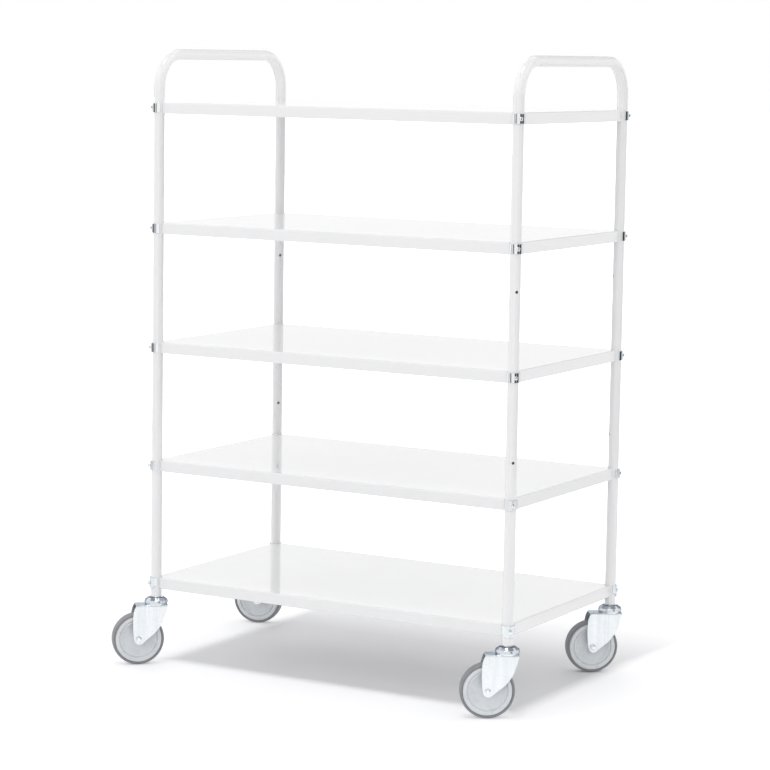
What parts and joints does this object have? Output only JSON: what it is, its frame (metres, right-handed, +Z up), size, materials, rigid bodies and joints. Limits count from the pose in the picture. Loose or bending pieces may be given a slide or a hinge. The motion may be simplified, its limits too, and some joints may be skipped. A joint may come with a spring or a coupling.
{
  "type": "shelf cart",
  "caption": "Tall white shelf cart with bent-tube end frames that form push handles, flat lipped steel shelves clamped at the corners, and swivel casters.",
  "frame": {"origin": "on the floor, in the middle between the four posts", "axes": "+X along the shelves to the right-hand end frame, +Y across the cart to the back, +Z up"},
  "size_m": [1.0941, 0.6514, 1.477],
  "materials": {
    "powder_coat": "smooth white powder coat, semi-gloss",
    "shelf_coat": "smooth white powder coat, glossy",
    "clamp_zinc": "bright zinc plate",
    "caster_zinc": "bluish bright zinc plate",
    "wheel_plastic": "grey moulded plastic",
    "tyre": "grey non-marking rubber"
  },
  "bodies": {
    "cart": {"end_frame_left": "powder_coat", "end_frame_right": "powder_coat", "shelf_1": "shelf_coat", "shelf_2": "shelf_coat", "shelf_3": "shelf_coat", "shelf_4": "shelf_coat", "shelf_5": "shelf_coat", "clamp_1_front_left": "clamp_zinc", "clamp_1_front_right": "clamp_zinc", "clamp_1_rear_right": "clamp_zinc", "clamp_1_rear_left": "clamp_zinc", "clamp_2_front_left": "clamp_zinc", "clamp_2_front_right": "clamp_zinc", "clamp_2_rear_right": "clamp_zinc", "clamp_2_rear_left": "clamp_zinc", "clamp_3_front_left": "clamp_zinc", "clamp_3_front_right": "clamp_zinc", "clamp_3_rear_right": "clamp_zinc", "clamp_3_rear_left": "clamp_zinc", "clamp_4_front_left": "clamp_zinc", "clamp_4_front_right": "clamp_zinc", "clamp_4_rear_right": "clamp_zinc", "clamp_4_rear_left": "clamp_zinc", "bracket_5_front_left": "clamp_zinc", "bracket_5_front_right": "clamp_zinc", "bracket_5_rear_right": "clamp_zinc", "bracket_5_rear_left": "clamp_zinc", "caster_stem_front_left": "caster_zinc", "caster_cup_front_left": "caster_zinc", "caster_stem_front_right": "caster_zinc", "caster_cup_front_right": "caster_zinc", "caster_stem_rear_right": "caster_zinc", "caster_cup_rear_right": "caster_zinc", "caster_stem_rear_left": "caster_zinc", "caster_cup_rear_left": "caster_zinc"},
    "fork_front_left": {"caster_fork_front_left": "caster_zinc", "axle_bolt_front_left": "caster_zinc", "axle_nut_front_left": "caster_zinc", "axle_sleeve_front_left": "caster_zinc"},
    "wheel_front_left": {"wheel_centre_front_left": "wheel_plastic", "tyre_front_left": "tyre"},
    "fork_front_right": {"caster_fork_front_right": "caster_zinc", "axle_bolt_front_right": "caster_zinc", "axle_nut_front_right": "caster_zinc", "axle_sleeve_front_right": "caster_zinc"},
    "wheel_front_right": {"wheel_centre_front_right": "wheel_plastic", "tyre_front_right": "tyre"},
    "fork_rear_right": {"caster_fork_rear_right": "caster_zinc", "axle_bolt_rear_right": "caster_zinc", "axle_nut_rear_right": "caster_zinc", "axle_sleeve_rear_right": "caster_zinc"},
    "wheel_rear_right": {"wheel_centre_rear_right": "wheel_plastic", "tyre_rear_right": "tyre"},
    "fork_rear_left": {"caster_fork_rear_left": "caster_zinc", "axle_bolt_rear_left": "caster_zinc", "axle_nut_rear_left": "caster_zinc", "axle_sleeve_rear_left": "caster_zinc"},
    "wheel_rear_left": {"wheel_centre_rear_left": "wheel_plastic", "tyre_rear_left": "tyre"}
  },
  "joints": [
    {"name": "swivel_front_left", "type": "hinge", "parent": "cart", "child": "fork_front_left", "pos_m": [-0.4775, -0.2675, 0.155], "axis": [0, 0, 1], "continuous": true},
    {"name": "roll_front_left", "type": "hinge", "parent": "fork_front_left", "child": "wheel_front_left", "pos_m": [-0.50952, -0.29768, 0.0625], "axis": [0.6858, -0.7278, 0], "continuous": true},
    {"name": "swivel_front_right", "type": "hinge", "parent": "cart", "child": "fork_front_right", "pos_m": [0.4775, -0.2675, 0.155], "axis": [0, 0, 1], "continuous": true},
    {"name": "roll_front_right", "type": "hinge", "parent": "fork_front_right", "child": "wheel_front_right", "pos_m": [0.44064, -0.29153, 0.0625], "axis": [0.5461, -0.8377, 0], "continuous": true},
    {"name": "swivel_rear_right", "type": "hinge", "parent": "cart", "child": "fork_rear_right", "pos_m": [0.4775, 0.2675, 0.155], "axis": [0, 0, 1], "continuous": true},
    {"name": "roll_rear_right", "type": "hinge", "parent": "fork_rear_right", "child": "wheel_rear_right", "pos_m": [0.44302, 0.24017, 0.0625], "axis": [0.6211, -0.7837, 0], "continuous": true},
    {"name": "swivel_rear_left", "type": "hinge", "parent": "cart", "child": "fork_rear_left", "pos_m": [-0.4775, 0.2675, 0.155], "axis": [0, 0, 1], "continuous": true},
    {"name": "roll_rear_left", "type": "hinge", "parent": "fork_rear_left", "child": "wheel_rear_left", "pos_m": [-0.51975, 0.25522, 0.0625], "axis": [0.279, -0.9603, 0], "continuous": true}
  ]
}
